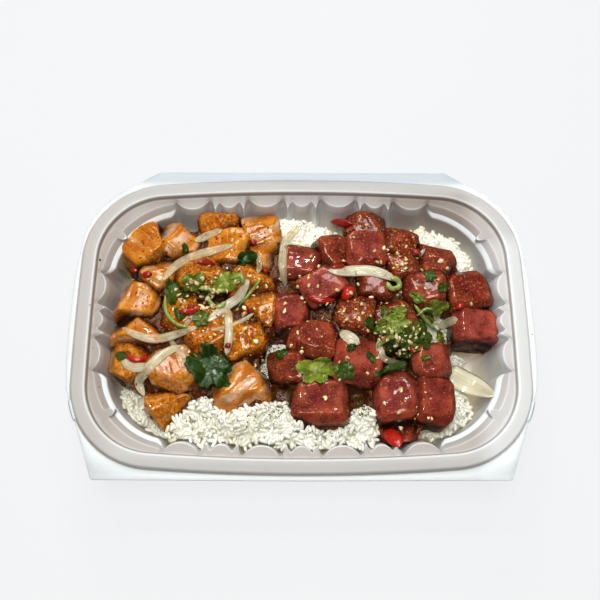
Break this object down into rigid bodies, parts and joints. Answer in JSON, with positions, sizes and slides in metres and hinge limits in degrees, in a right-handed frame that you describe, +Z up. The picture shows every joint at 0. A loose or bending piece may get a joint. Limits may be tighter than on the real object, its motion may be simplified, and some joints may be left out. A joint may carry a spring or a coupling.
{
  "type": "salmon and tuna poke in a rectangular takeaway tray",
  "caption": "Rectangular fluted takeaway tray filled with rice and topped with marinated salmon and tuna cubes, onion, coriander leaves and chilli.",
  "frame": {"origin": "on the table, under the middle of the tray's outline", "axes": "+X along the tray's length to the right as the picture shows it, +Y towards its back edge, +Z up"},
  "size_m": [0.223, 0.156, 0.0456],
  "materials": {
    "tray_plastic": "off-white plastic, satin",
    "rice": "cooked short-grain rice, slightly wet",
    "salmon": "raw marinated salmon with pale fat lines, glossy",
    "tuna": "raw marinated tuna, deep red, glossy",
    "onion": "sliced raw onion, translucent, glossy",
    "leaf": "fresh green leaf, satin",
    "chilli": "cut red chilli, glossy"
  },
  "bodies": {
    "root": {"tray": "tray_plastic", "rice": "rice", "salmon_01": "salmon", "salmon_02": "salmon", "salmon_03": "salmon", "salmon_04": "salmon", "salmon_05": "salmon", "salmon_06": "salmon", "salmon_07": "salmon", "salmon_08": "salmon", "salmon_09": "salmon", "salmon_10": "salmon", "salmon_11": "salmon", "salmon_12": "salmon", "salmon_13": "salmon", "salmon_14": "salmon", "salmon_15": "salmon", "salmon_16": "salmon", "salmon_17": "salmon", "salmon_18": "salmon", "salmon_19": "salmon", "tuna_01": "tuna", "tuna_02": "tuna", "tuna_03": "tuna", "tuna_04": "tuna", "tuna_05": "tuna", "tuna_06": "tuna", "tuna_07": "tuna", "tuna_08": "tuna", "tuna_09": "tuna", "tuna_10": "tuna", "tuna_11": "tuna", "tuna_12": "tuna", "tuna_13": "tuna", "tuna_14": "tuna", "tuna_15": "tuna", "tuna_16": "tuna", "tuna_17": "tuna", "tuna_18": "tuna", "tuna_19": "tuna", "tuna_20": "tuna", "tuna_21": "tuna", "tuna_22": "tuna", "tuna_23": "tuna", "onion_01": "onion", "onion_02": "onion", "onion_03": "onion", "onion_04": "onion", "onion_05": "onion", "onion_06": "onion", "onion_07": "onion", "onion_08": "onion", "onion_09": "onion", "leaf_01": "leaf", "leaf_02": "leaf", "leaf_03": "leaf", "leaf_04": "leaf", "leaf_05": "leaf", "chilli_01": "chilli", "chilli_02": "chilli"}
  },
  "joints": []
}
